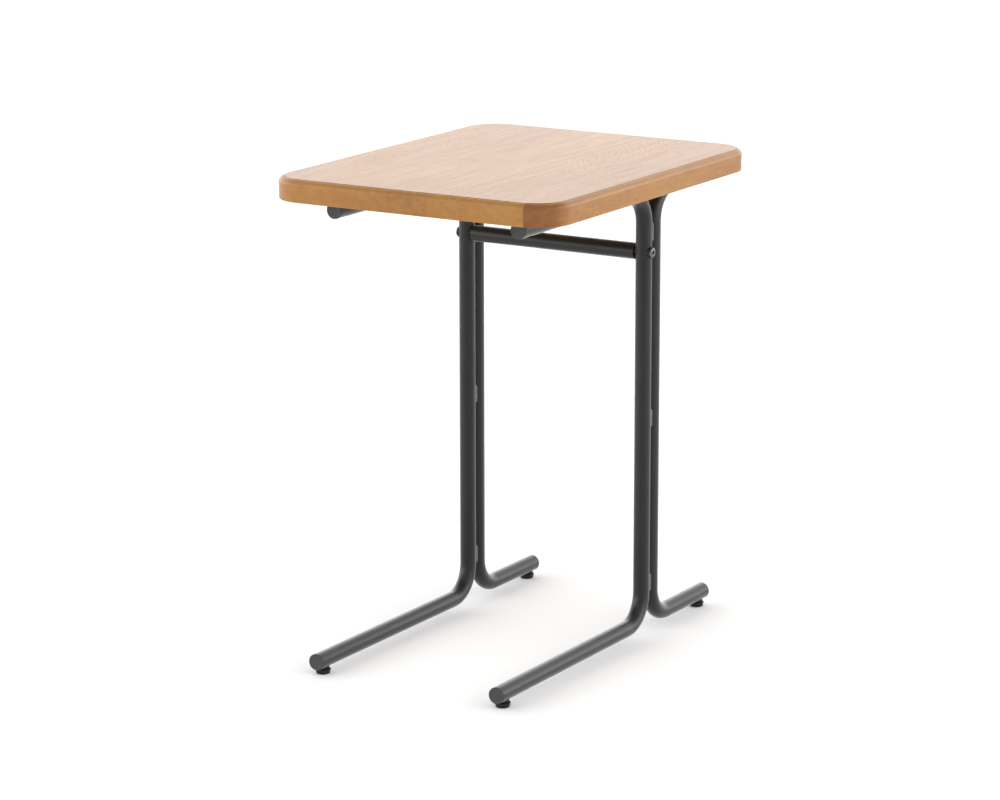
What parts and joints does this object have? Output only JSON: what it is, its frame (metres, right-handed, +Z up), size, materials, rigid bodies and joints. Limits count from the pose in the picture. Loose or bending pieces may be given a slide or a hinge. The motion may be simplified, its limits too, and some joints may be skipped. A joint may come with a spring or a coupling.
{
  "type": "drafting table",
  "caption": "Small free-standing work table: rounded solid wood top on two C-shaped legs of paired bent steel tube, joined by a bolted crossbar, on screw-adjustable glides.",
  "frame": {"origin": "floor level, under the centre of the footprint (the bottom centre of the bounding box)", "axes": "+Z up; +X to the right across the two legs; -Y the open side, where the long feet and arms point and the knees or seat go in"},
  "size_m": [0.424, 0.553, 0.65],
  "materials": {
    "top_wood": "satin lacquered solid wood, edge-glued staves with the grain front to back",
    "powder_coat": "charcoal semi-gloss powder coat",
    "weld_bead": "rippled weld bead under the powder coat",
    "cap_plastic": "fine-grained grey moulded plastic",
    "glide_plastic": "near-black moulded plastic",
    "black_plastic": "black moulded plastic",
    "black_oxide": "black oxide steel",
    "zinc_steel": "bright zinc plate",
    "brass_insert": "turned brass"
  },
  "bodies": {
    "frame": {"table_top": "top_wood", "top_inserts": "brass_insert", "top_spacers": "black_plastic", "top_bolts": "zinc_steel", "left_front_tube": "powder_coat", "left_rear_tube": "powder_coat", "right_front_tube": "powder_coat", "right_rear_tube": "powder_coat", "left_welds": "weld_bead", "right_welds": "weld_bead", "crossbar": "powder_coat", "left_bar_nut": "zinc_steel", "right_bar_nut": "zinc_steel", "left_bar_washer": "black_plastic", "right_bar_washer": "black_plastic", "left_bar_bolt": "black_oxide", "right_bar_bolt": "black_oxide", "left_front_arm_cap": "cap_plastic", "left_rear_arm_cap": "cap_plastic", "right_front_arm_cap": "cap_plastic", "right_rear_arm_cap": "cap_plastic", "left_front_foot_cap": "cap_plastic", "left_rear_foot_cap": "cap_plastic", "right_front_foot_cap": "cap_plastic", "right_rear_foot_cap": "cap_plastic", "left_front_glide_nut": "zinc_steel", "left_rear_glide_nut": "zinc_steel", "right_front_glide_nut": "zinc_steel", "right_rear_glide_nut": "zinc_steel"},
    "left_front_pad": {"left_front_glide_pad": "glide_plastic"},
    "left_front_stud": {"left_front_glide_stud": "black_oxide"},
    "left_rear_pad": {"left_rear_glide_pad": "glide_plastic"},
    "left_rear_stud": {"left_rear_glide_stud": "black_oxide"},
    "right_front_pad": {"right_front_glide_pad": "glide_plastic"},
    "right_front_stud": {"right_front_glide_stud": "black_oxide"},
    "right_rear_pad": {"right_rear_glide_pad": "glide_plastic"},
    "right_rear_stud": {"right_rear_glide_stud": "black_oxide"}
  },
  "joints": [
    {"name": "left_front_glide_height", "type": "slide", "parent": "frame", "child": "left_front_pad", "axis": [0, 0, 1], "range_m": [-0.008, 0.0004]},
    {"name": "left_front_glide_turn", "type": "hinge", "parent": "left_front_pad", "child": "left_front_stud", "pos_m": [-0.1368, -0.2601, 0], "axis": [0, 0, 1], "range_deg": [-2310, 120]},
    {"name": "left_rear_glide_height", "type": "slide", "parent": "frame", "child": "left_rear_pad", "axis": [0, 0, 1], "range_m": [-0.008, 0.0004]},
    {"name": "left_rear_glide_turn", "type": "hinge", "parent": "left_rear_pad", "child": "left_rear_stud", "pos_m": [-0.1368, 0.2601, 0], "axis": [0, 0, 1], "range_deg": [-2310, 120]},
    {"name": "right_front_glide_height", "type": "slide", "parent": "frame", "child": "right_front_pad", "axis": [0, 0, 1], "range_m": [-0.008, 0.0004]},
    {"name": "right_front_glide_turn", "type": "hinge", "parent": "right_front_pad", "child": "right_front_stud", "pos_m": [0.1368, -0.2601, 0], "axis": [0, 0, 1], "range_deg": [-2310, 120]},
    {"name": "right_rear_glide_height", "type": "slide", "parent": "frame", "child": "right_rear_pad", "axis": [0, 0, 1], "range_m": [-0.008, 0.0004]},
    {"name": "right_rear_glide_turn", "type": "hinge", "parent": "right_rear_pad", "child": "right_rear_stud", "pos_m": [0.1368, 0.2601, 0], "axis": [0, 0, 1], "range_deg": [-2310, 120]}
  ],
  "couplings": [
    {"joint": "left_front_glide_turn", "follows": "left_front_glide_height", "rad_per_m": 5026.5},
    {"joint": "left_rear_glide_turn", "follows": "left_rear_glide_height", "rad_per_m": 5026.5},
    {"joint": "right_front_glide_turn", "follows": "right_front_glide_height", "rad_per_m": 5026.5},
    {"joint": "right_rear_glide_turn", "follows": "right_rear_glide_height", "rad_per_m": 5026.5}
  ]
}
